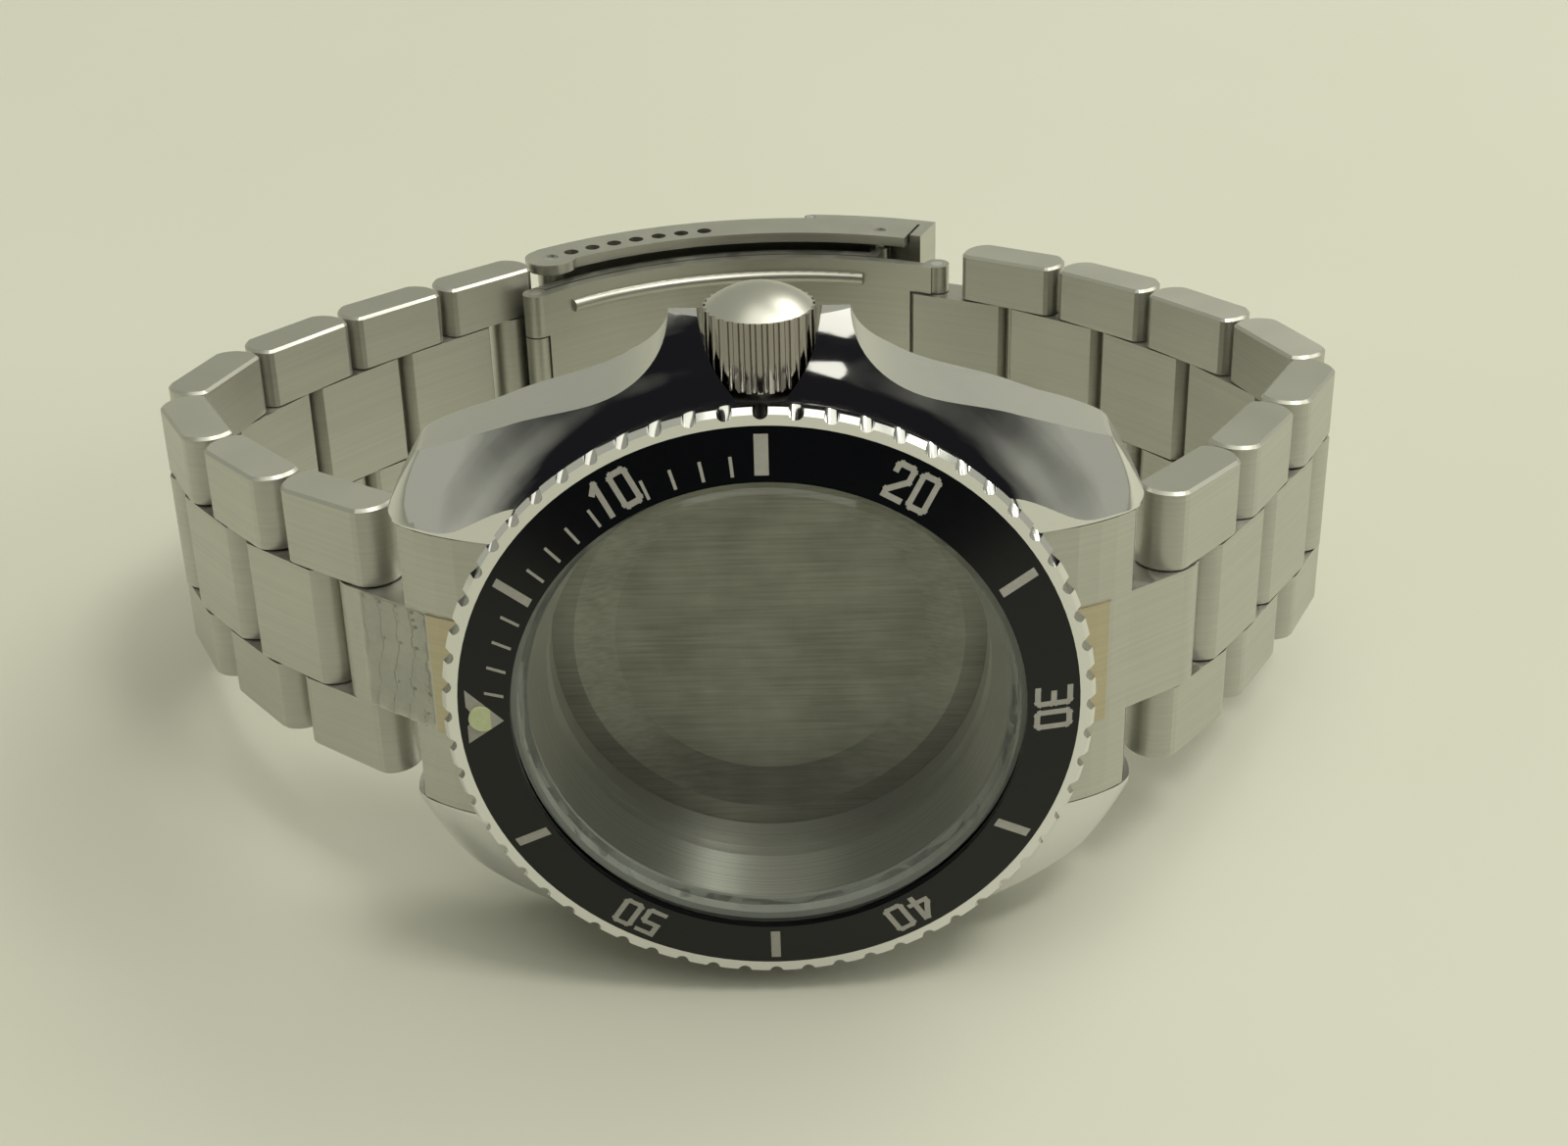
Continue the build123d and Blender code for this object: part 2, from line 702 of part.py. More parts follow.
nodes = {
    "mid_case": mid_case(),
    "crown_tube": crown_tube(),
    "crown": crown(),
    "crown_gasket": crown_gasket(),
    "crystal": crystal(),
    "crystal_gasket": crystal_gasket(),
    "rehaut_ring": rehaut_ring(),
    "bezel_ring": bezel_ring(),
    "bezel_insert": bezel_insert(),
    "lume_pip": lume_pip(),
    "bezel_wire": bezel_wire(),
    "caseback": caseback(),
    "caseback_gasket": caseback_gasket(),
    "end_link_12": end_link(-1),
    "end_link_6": end_link(1),
    "spring_bar_12": spring_bar(-1),
    "spring_bar_6": spring_bar(1),
    "end_pin_6": end_pin(),
    "clasp_cover": clasp_cover(),
    "clasp_spring_bar": clasp_spring_bar(),
    "cover_pin": cover_pin(),
    "blade_outer": blade_outer(),
    "fold_pin": fold_pin(),
    "blade_inner": blade_inner(),
    "far_pin": far_pin(),
    "safety_lock": safety_lock(),
    "lock_pin": lock_pin(),
}
link_count = len(degree_12) // 2
for side, label, degrees, spots in ((-1, "12", degree_12, spots_12), (1, "6", degree_6, spots_6)):
    for number in range(link_count):
        first = 2 * number
        second = first + 1
        pieces = outer_link(side, number, side < 0 or number > 0)
        placed = [laid(side, spots[first], degrees[first], piece) for piece in pieces]
        nodes[f"outer_link_{label}_{number + 1}"] = Compound(children=placed)
        centre_piece = centre_link(side)
        if side < 0 and number == link_count - 1:
            centre_piece = clasp_side_link(side)
        nodes[f"centre_link_{label}_{number + 1}"] = laid(side, spots[second], degrees[second], centre_piece)

lean = math.degrees(math.atan2(touch_clasp_z - touch_case_z, touch_clasp_y - touch_case_y))
stood = {name: Rot(-lean, 0, 0) * shape for name, shape in nodes.items()}
box = Compound(children=[Compound(shape.solids()) for shape in stood.values()]).bounding_box()
lift = Pos(-(box.min.X + box.max.X) / 2, -(box.min.Y + box.max.Y) / 2, -box.min.Z)
for name, shape in stood.items():
    export_step(Compound((lift * shape).solids()), f"parts/{name}.step")
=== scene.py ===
import bpy
import json
import math
import numpy as np
from mathutils import Matrix, Vector


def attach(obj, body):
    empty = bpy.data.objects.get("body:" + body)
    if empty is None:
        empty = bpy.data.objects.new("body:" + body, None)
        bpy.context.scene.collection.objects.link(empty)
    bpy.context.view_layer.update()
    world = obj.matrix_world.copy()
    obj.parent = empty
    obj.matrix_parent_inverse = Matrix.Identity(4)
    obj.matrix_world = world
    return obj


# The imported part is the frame. All pieces stay where the CAD put them.
# The turned and milled edges stay crisp, and the curved skins between them are shaded smooth.
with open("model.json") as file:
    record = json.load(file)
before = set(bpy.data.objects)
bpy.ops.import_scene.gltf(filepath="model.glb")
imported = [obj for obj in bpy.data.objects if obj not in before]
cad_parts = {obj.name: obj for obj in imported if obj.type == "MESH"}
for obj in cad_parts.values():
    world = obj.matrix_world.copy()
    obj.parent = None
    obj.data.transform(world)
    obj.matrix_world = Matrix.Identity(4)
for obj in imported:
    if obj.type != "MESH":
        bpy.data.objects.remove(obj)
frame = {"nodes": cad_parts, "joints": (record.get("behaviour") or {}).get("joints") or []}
nodes = frame["nodes"]
joints = {j["name"]: j for j in frame["joints"]}
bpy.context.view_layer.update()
case_crease_degrees = 18
other_crease_degrees = 28
for node in nodes.values():
    for face in node.data.polygons:
        face.use_smooth = True
    degrees = case_crease_degrees if node.name == "mid_case" else other_crease_degrees
    node.data.set_sharp_from_angle(angle=math.radians(degrees))

# Camera: a short telephoto lens above the table, in front of the dial and looking down at it.
# Its place and turn were fitted to the rings, lugs and strap of the photo.
lens = bpy.data.cameras.new("camera")
lens.lens = 54
lens.sensor_width = 36
lens.clip_start = 0.01
lens.clip_end = 20
camera = bpy.data.objects.new("camera", lens)
bpy.context.scene.collection.objects.link(camera)
camera.matrix_world = Matrix((
    (0.999738, 0.020559, 0.010016, 0.0038922),
    (-0.005219, 0.631519, -0.775343, -0.1385867),
    (-0.022265, 0.775088, 0.631461, 0.118688),
    (0, 0, 0, 1)))
bpy.context.scene.camera = camera
bpy.context.scene.view_settings.view_transform = "Standard"


# Floor: matt cream paper with a very faint mottle.
# It runs out of the picture on all sides, so no edge or corner shows.
def finish_tree(material):
    """Turn nodes on, and return the material's tree and its main shader."""
    material.use_nodes = True
    return material.node_tree, material.node_tree.nodes["Principled BSDF"]


def place_on(tree):
    """The place on the piece, in its own metres."""
    return tree.nodes.new("ShaderNodeTexCoord").outputs["Object"]


def speckle(tree, place, scale, detail=2):
    """Random cloudy values over the given place, finer with a larger scale."""
    noise = tree.nodes.new("ShaderNodeTexNoise")
    noise.inputs["Scale"].default_value = scale
    noise.inputs["Detail"].default_value = detail
    tree.links.new(place, noise.inputs["Vector"])
    return noise.outputs["Fac"]


def shades(tree, value, dark, pale, dark_at=0, pale_at=1):
    """A colour between two shades, picked by a value."""
    ramp = tree.nodes.new("ShaderNodeValToRGB")
    ramp.color_ramp.elements[0].position = dark_at
    ramp.color_ramp.elements[0].color = (*dark, 1)
    ramp.color_ramp.elements[1].position = pale_at
    ramp.color_ramp.elements[1].color = (*pale, 1)
    tree.links.new(value, ramp.inputs["Fac"])
    return ramp.outputs["Color"]


paper = bpy.data.materials.new("paper")
tree, shader = finish_tree(paper)
shader.inputs["Roughness"].default_value = 0.75
shader.inputs["Specular IOR Level"].default_value = 0.25
mottle = speckle(tree, place_on(tree), 9, 6)
cream = shades(tree, mottle, (0.60, 0.60, 0.515), (0.64, 0.64, 0.565), 0.3, 0.75)
tree.links.new(cream, shader.inputs["Base Color"])
paper_half = 3
corners = [(-paper_half, -paper_half, 0), (paper_half, -paper_half, 0),
           (paper_half, paper_half, 0), (-paper_half, paper_half, 0)]
sheet = bpy.data.meshes.new("table_paper")
sheet.from_pydata(corners, [], [(0, 1, 2, 3)])
table = bpy.data.objects.new("table_paper", sheet)
bpy.context.scene.collection.objects.link(table)
sheet.materials.append(paper)

# Light: a window behind to the right, a small lamp overhead, a broad ceiling panel and a pale wall.
# The room is pale all round and dark only on the camera's side, which the polish mirrors.
# The wall is only bounced light, so it throws no sharp mirror image.
room = bpy.data.worlds.new("room")
bpy.context.scene.world = room
room.use_nodes = True
tree = room.node_tree
backing = tree.nodes["Background"]
backing.inputs["Strength"].default_value = 1.0
look = tree.nodes.new("ShaderNodeTexCoord").outputs["Generated"]
toward = tree.nodes.new("ShaderNodeVectorMath")
toward.operation = "DOT_PRODUCT"
toward.inputs[1].default_value = (0.0, -0.93, 0.37)
tree.links.new(look, toward.inputs[0])
wobble = tree.nodes.new("ShaderNodeMath")
wobble.operation = "MULTIPLY_ADD"
wobble.inputs[1].default_value = 0.34
tree.links.new(speckle(tree, look, 2.6, 3), wobble.inputs[0])
tree.links.new(toward.outputs["Value"], wobble.inputs[2])
glow = shades(tree, wobble.outputs["Value"], (0.44, 0.445, 0.37), (0.012, 0.012, 0.014), 0.62, 0.98)
tree.links.new(glow, backing.inputs["Color"])
for label, spot, aim, wide, tall, power in (
    ("window", (0.75, 0.60, 0.95), (0, 0, 0), 0.9, 0.6, 6.2),
    ("overhead", (0.40, -0.14, 1.05), (0, 0, 0), 0.22, 0.22, 2.4),
    ("ceiling", (0.10, -0.15, 1.15), (0, -0.1, 0), 1.1, 1.1, 4.4),
    ("right_wall", (1.15, -0.45, 0.85), (0, -0.05, 0.02), 0.9, 0.6, 3.6),
):
    lamp = bpy.data.lights.new(label, "AREA")
    lamp.shape = "RECTANGLE"
    lamp.size = wide
    lamp.size_y = tall
    lamp.energy = power
    lamp.color = (1.0, 0.99, 0.88)
    holder = bpy.data.objects.new(label, lamp)
    bpy.context.scene.collection.objects.link(holder)
    holder.location = spot
    holder.rotation_euler = (Vector(aim) - Vector(spot)).to_track_quat("-Z", "Y").to_euler()
    holder.visible_glossy = label != "right_wall"


# Bracelet links: solid steel, brushed lengthwise with a belt.
# Fine lines run along the strap, and handling leaves cloudy smoother patches.
# The end links and the clasp start from the same steel, further down.
def dress(names, material):
    """Give each named node this one material."""
    for name in names:
        nodes[name].data.materials.clear()
        nodes[name].data.materials.append(material)


def spread(tree, value, low, high):
    """A value from 0 to 1 spread between two limits."""
    limits = tree.nodes.new("ShaderNodeMapRange")
    limits.inputs["To Min"].default_value = low
    limits.inputs["To Max"].default_value = high
    tree.links.new(value, limits.inputs["Value"])
    return limits.outputs["Result"]


def along_way(tree, place, way):
    """How far a place lies along a direction."""
    dot = tree.nodes.new("ShaderNodeVectorMath")
    dot.operation = "DOT_PRODUCT"
    dot.inputs[1].default_value = way
    tree.links.new(place, dot.inputs[0])
    return dot.outputs["Value"]


def dent(tree, shader, height, strength, depth):
    """Fine relief that follows a value, without any change of the mesh."""
    bump = tree.nodes.new("ShaderNodeBump")
    bump.inputs["Strength"].default_value = strength
    bump.inputs["Distance"].default_value = depth
    tree.links.new(height, bump.inputs["Height"])
    tree.links.new(bump.outputs["Normal"], shader.inputs["Normal"])
    return bump


across = Vector(joints["crown_pull"]["axis"])
dial_axis = Vector(joints["bezel_turn"]["axis"])
strap = Vector((1, 0, 0))
lines_per_metre = 4200
streaks_per_metre = 45
brushed = bpy.data.materials.new("brushed_steel")
tree, shader = finish_tree(brushed)
shader.inputs["Metallic"].default_value = 1
shader.inputs["Anisotropic"].default_value = 0.45
crosswise = tree.nodes.new("ShaderNodeCombineXYZ")
crosswise.inputs["X"].default_value = across.x
crosswise.inputs["Y"].default_value = across.y
crosswise.inputs["Z"].default_value = across.z
tree.links.new(crosswise.outputs["Vector"], shader.inputs["Tangent"])
place = place_on(tree)
slow = tree.nodes.new("ShaderNodeVectorMath")
slow.operation = "MULTIPLY"
slow.inputs[1].default_value = (streaks_per_metre, streaks_per_metre, streaks_per_metre)
tree.links.new(place, slow.inputs[0])
thirds = tree.nodes.new("ShaderNodeSeparateXYZ")
tree.links.new(slow.outputs["Vector"], thirds.inputs["Vector"])
lie = tree.nodes.new("ShaderNodeCombineXYZ")
tree.links.new(thirds.outputs["X"], lie.inputs["X"])
tree.links.new(thirds.outputs["Y"], lie.inputs["Y"])
tree.links.new(along_way(tree, place, across * lines_per_metre), lie.inputs["Z"])
lines = speckle(tree, lie.outputs["Vector"], 1, 3)
tree.links.new(spread(tree, speckle(tree, place, 190, 5), 0.34, 0.50), shader.inputs["Roughness"])
steel_grey = shades(tree, lines, (0.525, 0.52, 0.475), (0.58, 0.575, 0.525), 0.25, 0.75)
tree.links.new(steel_grey, shader.inputs["Base Color"])
dent(tree, shader, lines, 0.04, 0.00003)
dress([name for name in nodes if "_link_" in name], brushed)

# End links: the same brushed steel, with a warm tint multiplied into the colour of the centre row next to
# the bezel.
# The tint ends in a straight line where the tongue begins and at the seams of the centre row.
hub = Vector(joints["bezel_turn"]["pos_m"])
tint_half_width = 0.00425
tint_reach = 0.0213
tinted = brushed.copy()
tinted.name = "tinted_steel"
tree = tinted.node_tree
shader = tree.nodes["Principled BSDF"]
plain = shader.inputs["Base Color"].links[0].from_socket
from_hub = tree.nodes.new("ShaderNodeVectorMath")
from_hub.operation = "SUBTRACT"
from_hub.inputs[1].default_value = hub
tree.links.new(place_on(tree), from_hub.inputs[0])
inside = tree.nodes.new("ShaderNodeMath")
inside.operation = "MULTIPLY"
for socket, (way, reach) in enumerate(((across, tint_half_width), (strap, tint_reach))):
    size = tree.nodes.new("ShaderNodeMath")
    size.operation = "ABSOLUTE"
    tree.links.new(along_way(tree, from_hub.outputs["Vector"], way), size.inputs[0])
    within = tree.nodes.new("ShaderNodeMath")
    within.operation = "LESS_THAN"
    within.inputs[1].default_value = reach
    tree.links.new(size.outputs["Value"], within.inputs[0])
    tree.links.new(within.outputs["Value"], inside.inputs[socket])
warm = tree.nodes.new("ShaderNodeMix")
warm.data_type = "RGBA"
warm.blend_type = "MULTIPLY"
warm.inputs[7].default_value = (1.0, 0.90, 0.70, 1)
tree.links.new(inside.outputs["Value"], warm.inputs[0])
tree.links.new(plain, warm.inputs[6])
tree.links.new(warm.outputs[2], shader.inputs["Base Color"])
dress(("end_link_12", "end_link_6"), tinted)

# Film: a torn scrap of clear film left on the tongue at twelve, creased across the strap.
# One thin sheet carried along the link's top edge: its torn end and its creases are sums of sines.
# It is milky in patches and glossy all over.
mm = 0.001
hub_level = -5.0
film_half_width = 4.15
film_slant = 0.57
film_edge = np.array([(-21.25, -0.68), (-21.6, -0.45), (-22.8, 0.5), (-24.6, 1.75), (-26.3, 2.93)])
run = np.concatenate([[0], np.cumsum(np.hypot(*np.diff(film_edge, axis=0).T))])
u, v = np.meshgrid(np.linspace(0, 1, 110), np.linspace(-1, 1, 150), indexing="ij")
tear = 0.05 * np.sin(5 * v + 1.2) + 0.04 * np.sin(17 * v) + 0.02 * np.sin(51 * v + 0.4)
along = np.clip((0.05 + 0.92 * u + tear * 0.35 * (1 - u)) * run[-1], 0, run[-1])
crease = np.abs(np.sin(13 * u + 1.1 * np.sin(2.3 * v + 0.5) + 0.25 * np.sin(9 * v)))
ripple = 0.5 + 0.5 * np.sin(31 * u + 5 * v * u + 2.0 * np.sin(3.1 * v))
lift = 0.07 + 0.16 * (1 - crease) ** 2 + 0.05 * ripple * (1 - u)
x = np.interp(along, run, film_edge[:, 0]) - lift * film_slant
y = np.interp(along, run, film_edge[:, 1]) - lift * (1 - film_slant ** 2) ** 0.5
z = film_half_width * v + 0.05 * np.sin(17 * u)
axes = np.array([strap, dial_axis, across])
sheet_points = np.array(hub) + mm * np.stack([x, y - hub_level, z], axis=-1).reshape(-1, 3) @ axes
order = np.arange(u.size).reshape(u.shape)
quads = np.stack([order[:-1, :-1], order[:-1, 1:], order[1:, 1:], order[1:, :-1]], axis=-1).reshape(-1, 4)
film_mesh = bpy.data.meshes.new("protective_film")
film_mesh.from_pydata(sheet_points.tolist(), [], quads.tolist())
film_mesh.polygons.foreach_set("use_smooth", np.ones(len(quads), dtype=bool))
film_stuff = bpy.data.materials.new("film")
tree, shader = finish_tree(film_stuff)
tree.nodes.remove(shader)
through = tree.nodes.new("ShaderNodeBsdfTransparent")
through.inputs["Color"].default_value = (0.88, 0.89, 0.87, 1)
milky = tree.nodes.new("ShaderNodeBsdfDiffuse")
milky.inputs["Color"].default_value = (0.52, 0.52, 0.47, 1)
gloss = tree.nodes.new("ShaderNodeBsdfGlossy")
gloss.inputs["Roughness"].default_value = 0.16
haze = tree.nodes.new("ShaderNodeMapRange")
haze.inputs["From Min"].default_value = 0.35
haze.inputs["From Max"].default_value = 0.75
haze.inputs["To Min"].default_value = 0.06
haze.inputs["To Max"].default_value = 0.42
tree.links.new(speckle(tree, place_on(tree), 480, 6), haze.inputs["Value"])
dull = tree.nodes.new("ShaderNodeMixShader")
tree.links.new(haze.outputs["Result"], dull.inputs["Fac"])
tree.links.new(through.outputs["BSDF"], dull.inputs[1])
tree.links.new(milky.outputs["BSDF"], dull.inputs[2])
sheen = tree.nodes.new("ShaderNodeMixShader")
sheen.inputs["Fac"].default_value = 0.22
tree.links.new(dull.outputs["Shader"], sheen.inputs[1])
tree.links.new(gloss.outputs["BSDF"], sheen.inputs[2])
tree.links.new(sheen.outputs["Shader"], tree.nodes["Material Output"].inputs["Surface"])
film_mesh.materials.append(film_stuff)
film = bpy.data.objects.new("protective_film", film_mesh)
bpy.context.scene.collection.objects.link(film)
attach(film, "case")


# Clasp cover, flip lock and blades: bent sheet steel with the same brushing.
# All four share one finish, worn a little smoother and less streaky than the links.
def respread(material, low, high):
    """Set new roughness limits in a copied finish."""
    for node in material.node_tree.nodes:
        if node.type == "MAP_RANGE":
            node.inputs["To Min"].default_value = low
            node.inputs["To Max"].default_value = high


sheet_steel = brushed.copy()
sheet_steel.name = "clasp_steel"
sheet_steel.node_tree.nodes["Principled BSDF"].inputs["Anisotropic"].default_value = 0.25
respread(sheet_steel, 0.26, 0.46)
dress(("clasp_cover", "safety_lock", "blade_outer", "blade_inner"), sheet_steel)


# Case middle: the top of the lugs and guards is buffed to a mirror, the flank is satin.
# The two finishes meet in a crisp line, found from how squarely the surface faces the dial side.
def blend(tree, share, kind, first, second):
    """A mix of two numbers or two colours by a share."""
    mix = tree.nodes.new("ShaderNodeMix")
    mix.data_type = kind
    low, high, result = (2, 3, 0) if kind == "FLOAT" else (6, 7, 2)
    tree.links.new(share, mix.inputs[0])
    for socket, value in ((low, first), (high, second)):
        if isinstance(value, bpy.types.NodeSocket):
            tree.links.new(value, mix.inputs[socket])
        else:
            mix.inputs[socket].default_value = value
    return mix.outputs[result]


def facing(tree, way, low, high, either_side):
    """From 0 to 1 as the surface turns to face a direction, or either side of it."""
    squarely = along_way(tree, tree.nodes.new("ShaderNodeTexCoord").outputs["Normal"], way)
    if either_side:
        size = tree.nodes.new("ShaderNodeMath")
        size.operation = "ABSOLUTE"
        tree.links.new(squarely, size.inputs[0])
        squarely = size.outputs["Value"]
    turned_to = tree.nodes.new("ShaderNodeMapRange")
    turned_to.inputs["From Min"].default_value = low
    turned_to.inputs["From Max"].default_value = high
    tree.links.new(squarely, turned_to.inputs["Value"])
    return turned_to.outputs["Result"]


case_steel = bpy.data.materials.new("case_steel")
tree, shader = finish_tree(case_steel)
shader.inputs["Metallic"].default_value = 1
mirror = facing(tree, dial_axis, 0.18, 0.26, True)
place = place_on(tree)
lie = tree.nodes.new("ShaderNodeMapping")
lie.inputs["Scale"].default_value = (110, lines_per_metre, lines_per_metre)
tree.links.new(place, lie.inputs["Vector"])
lines = speckle(tree, lie.outputs["Vector"], 1, 3)
buffed = spread(tree, speckle(tree, place, 260, 6), 0.035, 0.075)
satin = spread(tree, lines, 0.27, 0.42)
tree.links.new(blend(tree, mirror, "FLOAT", satin, buffed), shader.inputs["Roughness"])
tone = blend(tree, mirror, "RGBA", (0.60, 0.60, 0.58, 1), (0.74, 0.74, 0.73, 1))
tree.links.new(tone, shader.inputs["Base Color"])
grain = tree.nodes.new("ShaderNodeMath")
grain.operation = "MULTIPLY_ADD"
grain.inputs[1].default_value = -0.14
grain.inputs[2].default_value = 0.15
tree.links.new(mirror, grain.inputs[0])
bump = dent(tree, shader, lines, 1, 0.00004)
tree.links.new(grain.outputs["Value"], bump.inputs["Strength"])
dress(("mid_case",), case_steel)

# Bezel ring and crown tube: turned steel, the ring cut with notches, then buffed bright.
# Hairlines and handling marks dull the buffing a little.
buff = bpy.data.materials.new("buffed_steel")
tree, shader = finish_tree(buff)
shader.inputs["Metallic"].default_value = 1
shader.inputs["Base Color"].default_value = (0.76, 0.76, 0.75, 1)
smear = speckle(tree, place_on(tree), 420, 7)
tree.links.new(spread(tree, smear, 0.06, 0.17), shader.inputs["Roughness"])
dent(tree, shader, smear, 0.03, 0.00002)
dress(("bezel_ring", "crown_tube"), buff)

# Crown: the flutes are glossy, with a darker colour painted in as shade in their grooves; the domed end
# has a fine worn satin finish.
# The two are told apart by how squarely the surface faces along the crown.
knob = buff.copy()
knob.name = "crown_steel"
tree = knob.node_tree
shader = tree.nodes["Principled BSDF"]
bright = shader.inputs["Roughness"].links[0].from_socket
dome = facing(tree, across, 0.3, 0.6, False)
tree.links.new(blend(tree, dome, "FLOAT", bright, 0.36), shader.inputs["Roughness"])
# Painted shade: the fluted side gets the dark colour, the domed end the pale one.
tone = blend(tree, dome, "RGBA", (0.34, 0.32, 0.295, 1), (0.56, 0.555, 0.51, 1))
tree.links.new(tone, shader.inputs["Base Color"])
dress(("crown",), knob)

# Bezel insert: anodised aluminium, black and glossy, with faint dust and rub marks.
# The sheen is uneven because the coating follows the turned metal below it.
anodised = bpy.data.materials.new("anodised_insert")
tree, shader = finish_tree(anodised)
shader.inputs["Base Color"].default_value = (0.0045, 0.005, 0.0065, 1)
shader.inputs["Specular IOR Level"].default_value = 0.32
dust = speckle(tree, place_on(tree), 900, 6)
tree.links.new(spread(tree, dust, 0.13, 0.22), shader.inputs["Roughness"])
dress(("bezel_insert",), anodised)

# Bezel print: silver white bars, ticks, triangle and plain minute numbers on the insert.
# Each mark is a thin flat sheet laid on the cone of the insert and rides with the bezel.
ink = bpy.data.materials.new("print")
tree, shader = finish_tree(ink)
shader.inputs["Roughness"].default_value = 0.45
silver = shades(tree, speckle(tree, place_on(tree), 2600), (0.36, 0.35, 0.32), (0.48, 0.47, 0.43))
tree.links.new(silver, shader.inputs["Base Color"])
insert_edge_level = -6.0
insert_rise = 0.7
insert_outer = 19.0
insert_width = 3.25
ink_lift = 0.018
mark_low = 16.15
tick_high = 17.35
bar_high = 18.55
tick_half = 0.1
bar_half = 0.3
wide_bar_half = 0.42
wide_bar_minute = 15
last_tick_minute = 15
triangle_half = 1.9
triangle_high = 18.5
digit_low = 16.35
digit_start = -1.32
digit_step = 1.62
digit_stroke = 0.36
points = []
faces = []


def lay(minute, outline):
    """Lay a flat outline, given beside and along a minute's radius, on the cone of the insert."""
    turn = math.radians(minute * 6)
    outward = -math.cos(turn) * strap + math.sin(turn) * across
    onward = math.sin(turn) * strap + math.cos(turn) * across
    start = len(points)
    for aside, away in outline:
        flat = aside * onward + away * outward
        reach = flat.length
        level = insert_edge_level - insert_rise * (insert_outer - reach) / insert_width - ink_lift
        points.append(hub + flat * mm + dial_axis * (level - hub_level) * mm)
    faces.append(tuple(range(start, start + len(outline))))


def stroke(minute, path, left):
    """Lay one square-ended bar for each straight piece of a digit's path."""
    for (x0, y0), (x1, y1) in zip(path, path[1:]):
        along = Vector((x1 - x0, y1 - y0)).normalized() * digit_stroke / 2
        side = Vector((-along.y, along.x))
        corners = [
            (x0 - along.x + side.x, y0 - along.y + side.y), (x0 - along.x - side.x, y0 - along.y - side.y),
            (x1 + along.x - side.x, y1 + along.y - side.y), (x1 + along.x + side.x, y1 + along.y + side.y)]
        lay(minute, [(left + x, digit_low + y) for x, y in corners])


digits = {
    "0": [[(0, 0.15), (0, 1.85), (0.15, 2), (0.85, 2), (1, 1.85), (1, 0.15), (0.85, 0), (0.15, 0),
           (0, 0.15)]],
    "1": [[(0.25, 1.6), (0.6, 2), (0.6, 0)]],
    "2": [[(0, 1.6), (0, 1.85), (0.15, 2), (0.85, 2), (1, 1.85), (1, 1.2), (0, 0.3), (0, 0), (1, 0)]],
    "3": [[(0, 2), (0.85, 2), (1, 1.85), (1, 1.15), (0.85, 1), (0.3, 1)],
          [(0.85, 1), (1, 0.85), (1, 0.15), (0.85, 0), (0, 0)]],
    "4": [[(0.75, 0), (0.75, 2), (0.6, 2), (0, 0.8), (0, 0.5), (1.05, 0.5)]],
    "5": [[(1, 2), (0, 2), (0, 1.1), (0.85, 1.1), (1, 0.95), (1, 0.15), (0.85, 0), (0, 0)]],
}
for number in range(10, 60, 10):
    for position, digit in enumerate(str(number)):
        for path in digits[digit]:
            stroke(number, path, digit_start + digit_step * position)
for minute in range(5, 60, 10):
    half = wide_bar_half if minute == wide_bar_minute else bar_half
    lay(minute, [(-half, mark_low), (half, mark_low), (half, bar_high), (-half, bar_high)])
for minute in range(1, last_tick_minute):
    if minute % 5:
        lay(minute, [(-tick_half, mark_low), (tick_half, mark_low),
                     (tick_half, tick_high), (-tick_half, tick_high)])
lay(0, [(0, mark_low), (triangle_half, triangle_high), (-triangle_half, triangle_high)])
print_mesh = bpy.data.meshes.new("bezel_print")
print_mesh.from_pydata([tuple(p) for p in points], [], faces)
print_mesh.materials.append(ink)
bezel_print = bpy.data.objects.new("bezel_print", print_mesh)
bpy.context.scene.collection.objects.link(bezel_print)
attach(bezel_print, "bezel")

# Pip: pale green luminous paint in a small hole at twelve.
# It stands a little proud of the insert and is grainy.
glow_paint = bpy.data.materials.new("lume_paint")
tree, shader = finish_tree(glow_paint)
shader.inputs["Roughness"].default_value = 0.4
green = shades(tree, speckle(tree, place_on(tree), 3000), (0.50, 0.56, 0.30), (0.66, 0.70, 0.44))
tree.links.new(green, shader.inputs["Base Color"])
dress(("lume_pip",), glow_paint)

# Crystal: a flat disc of clear glass, a little dusty.
# Light passes it straight, so the empty bore can be seen; only its outer faces mirror.
clear = bpy.data.materials.new("crystal_glass")
tree, shader = finish_tree(clear)
tree.nodes.remove(shader)
through = tree.nodes.new("ShaderNodeBsdfTransparent")
through.inputs["Color"].default_value = (0.93, 0.945, 0.94, 1)
gloss = tree.nodes.new("ShaderNodeBsdfGlossy")
gloss.inputs["Color"].default_value = (1, 1, 1, 1)
dust = speckle(tree, place_on(tree), 320, 8)
tree.links.new(spread(tree, dust, 0.01, 0.06), gloss.inputs["Roughness"])
edge = tree.nodes.new("ShaderNodeFresnel")
edge.inputs["IOR"].default_value = 1.5
side = tree.nodes.new("ShaderNodeNewGeometry")
front = tree.nodes.new("ShaderNodeMath")
front.operation = "SUBTRACT"
front.inputs[0].default_value = 1
tree.links.new(side.outputs["Backfacing"], front.inputs[1])
outside = tree.nodes.new("ShaderNodeMath")
outside.operation = "MULTIPLY"
tree.links.new(edge.outputs["Fac"], outside.inputs[0])
tree.links.new(front.outputs["Value"], outside.inputs[1])
mixed = tree.nodes.new("ShaderNodeMixShader")
tree.links.new(outside.outputs["Value"], mixed.inputs["Fac"])
tree.links.new(through.outputs["BSDF"], mixed.inputs[1])
tree.links.new(gloss.outputs["BSDF"], mixed.inputs[2])
tree.links.new(mixed.outputs["Shader"], tree.nodes["Material Output"].inputs["Surface"])
dress(("crystal",), clear)

# Crystal gasket: a nylon ring squeezed round the glass, waxy and grey in the shade of the insert.
# Its gloss varies a little, as moulded nylon's does.
nylon = bpy.data.materials.new("nylon")
tree, shader = finish_tree(nylon)
shader.inputs["Base Color"].default_value = (0.36, 0.37, 0.34, 1)
wax = speckle(tree, place_on(tree), 700)
tree.links.new(spread(tree, wax, 0.3, 0.5), shader.inputs["Roughness"])
dress(("crystal_gasket",), nylon)
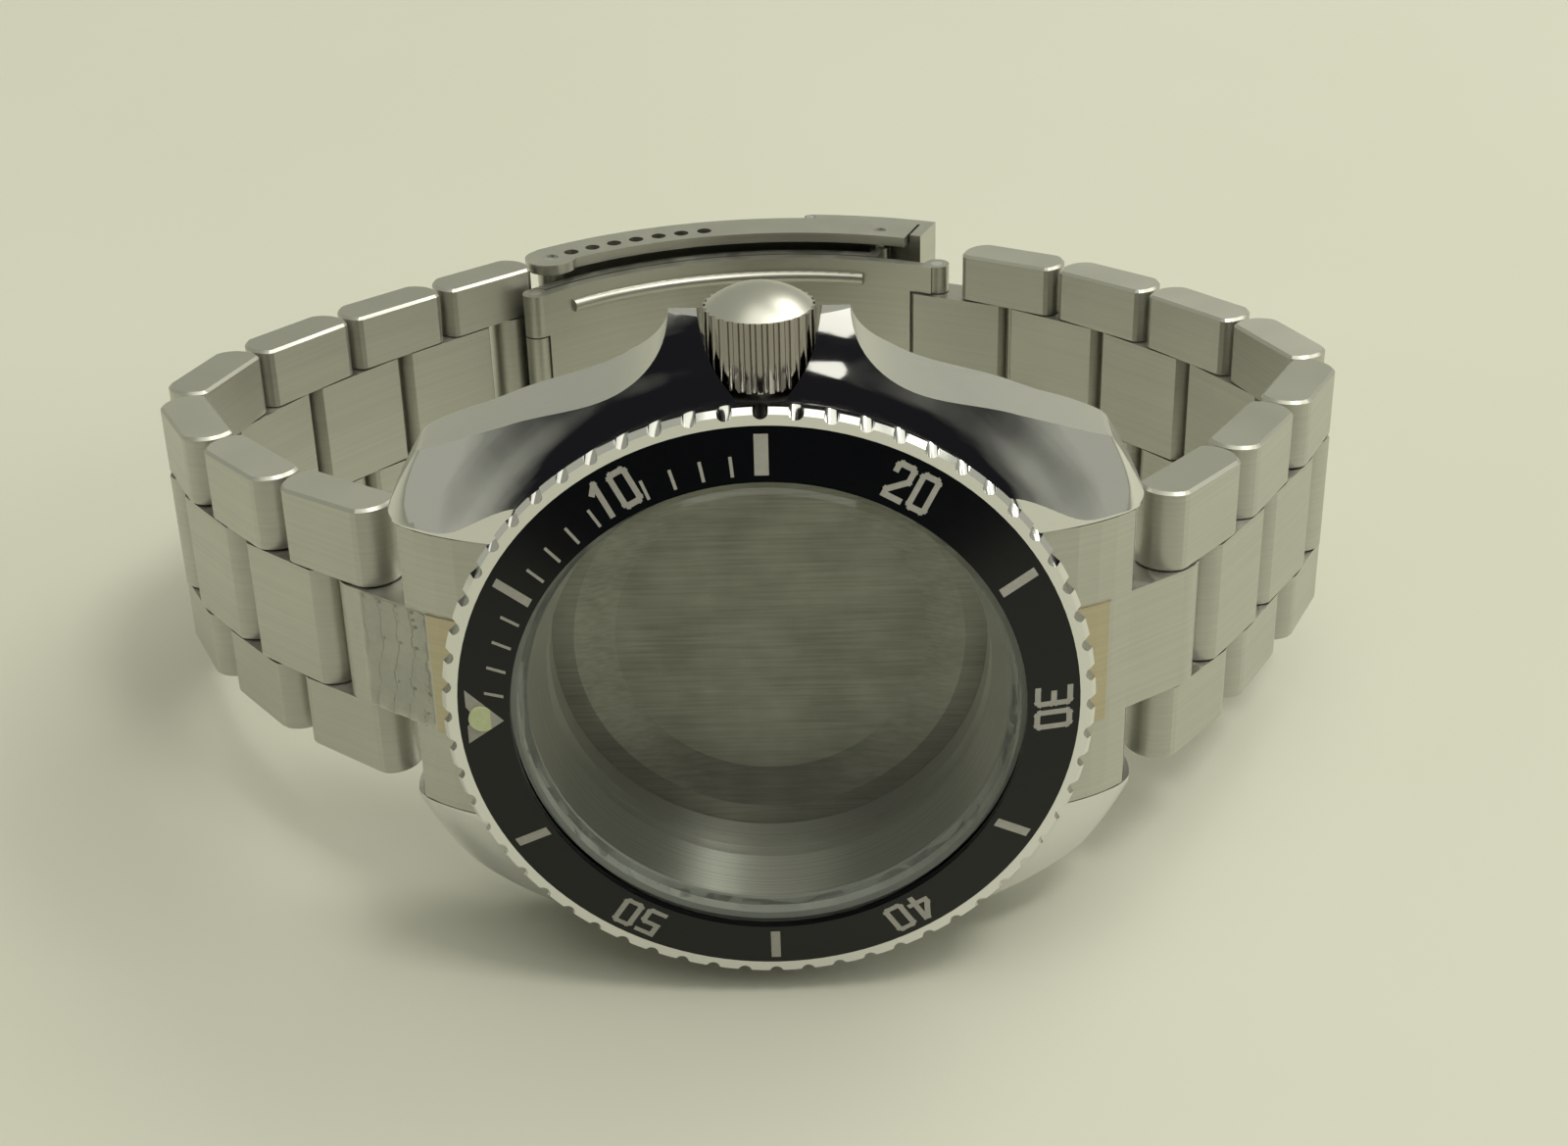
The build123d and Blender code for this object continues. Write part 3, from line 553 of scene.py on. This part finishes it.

# Caseback: straight grained steel with cloudy stains from assembly.
# It lies deep in the bore, and its dark warm grey is painted shade for that depth.
back_steel = bpy.data.materials.new("caseback_steel")
tree, shader = finish_tree(back_steel)
shader.inputs["Metallic"].default_value = 1
place = place_on(tree)
lie = tree.nodes.new("ShaderNodeMapping")
lie.inputs["Rotation"].default_value = (0, 0.16, 0)
lie.inputs["Scale"].default_value = (170, 5200, 5200)
tree.links.new(place, lie.inputs["Vector"])
lines = speckle(tree, lie.outputs["Vector"], 1, 4)
stain = speckle(tree, place, 230, 7)
worn = tree.nodes.new("ShaderNodeMix")
worn.data_type = "FLOAT"
worn.inputs[0].default_value = 0.4
tree.links.new(stain, worn.inputs[2])
tree.links.new(lines, worn.inputs[3])
# The dark range of this grey is painted shade of the deep bore; the stains and the grain vary it.
warm_grey = shades(tree, worn.outputs[0], (0.19, 0.18, 0.15), (0.34, 0.33, 0.285), 0.36, 0.64)
tree.links.new(warm_grey, shader.inputs["Base Color"])
tree.links.new(spread(tree, stain, 0.28, 0.48), shader.inputs["Roughness"])
dent(tree, shader, lines, 0.15, 0.00004)
dress(("caseback",), back_steel)

# Rehaut: a turned cone, its fine lathe rings spread the light into a fan.
# The rings run round the dial axis, so the tangent is taken from the place on the ring.
# The bore of the case behind it is turned in the same way.
rings_per_metre = 9000
bore_reach = 0.01525
turned = bpy.data.materials.new("turned_steel")
tree, shader = finish_tree(turned)
shader.inputs["Metallic"].default_value = 1
shader.inputs["Anisotropic"].default_value = 0.85
shader.inputs["Anisotropic Rotation"].default_value = 0.25
from_hub = tree.nodes.new("ShaderNodeVectorMath")
from_hub.operation = "SUBTRACT"
from_hub.inputs[1].default_value = hub
tree.links.new(place_on(tree), from_hub.inputs[0])
round_about = tree.nodes.new("ShaderNodeVectorMath")
round_about.operation = "CROSS_PRODUCT"
round_about.inputs[1].default_value = dial_axis
tree.links.new(from_hub.outputs["Vector"], round_about.inputs[0])
unit = tree.nodes.new("ShaderNodeVectorMath")
unit.operation = "NORMALIZE"
tree.links.new(round_about.outputs["Vector"], unit.inputs[0])
tree.links.new(unit.outputs["Vector"], shader.inputs["Tangent"])
rings = tree.nodes.new("ShaderNodeTexNoise")
rings.noise_dimensions = "1D"
rings.inputs["Scale"].default_value = 1
rings.inputs["Detail"].default_value = 3
tree.links.new(along_way(tree, from_hub.outputs["Vector"], dial_axis * rings_per_metre), rings.inputs["W"])
ring_grey = shades(tree, rings.outputs["Fac"], (0.46, 0.455, 0.41), (0.64, 0.63, 0.58), 0.3, 0.7)
tree.links.new(ring_grey, shader.inputs["Base Color"])
tree.links.new(spread(tree, rings.outputs["Fac"], 0.34, 0.48), shader.inputs["Roughness"])
dress(("rehaut_ring",), turned)
nodes["mid_case"].data.materials.append(turned)
for face in nodes["mid_case"].data.polygons:
    aside = Vector(face.center) - hub
    aside = aside - aside.dot(dial_axis) * dial_axis
    if aside.length < bore_reach:
        face.material_index = 1

# Bars, pins and the bezel wire: drawn spring steel, straight from the wire mill.
# It is the buffed steel with a duller surface.
drawn = buff.copy()
drawn.name = "drawn_wire"
respread(drawn, 0.2, 0.36)
drawn_pieces = [name for name in nodes
                if "pin" in name and name != "lume_pip" or "spring_bar" in name or name == "bezel_wire"]
dress(drawn_pieces, drawn)

# Seals: black nitrile rubber, moulded in one ring each.
# It is matt with a faint bloom.
rubber = bpy.data.materials.new("nitrile")
tree, shader = finish_tree(rubber)
shader.inputs["Base Color"].default_value = (0.02, 0.02, 0.02, 1)
bloom = speckle(tree, place_on(tree), 500)
tree.links.new(spread(tree, bloom, 0.45, 0.7), shader.inputs["Roughness"])
dress(("crown_gasket", "caseback_gasket"), rubber)
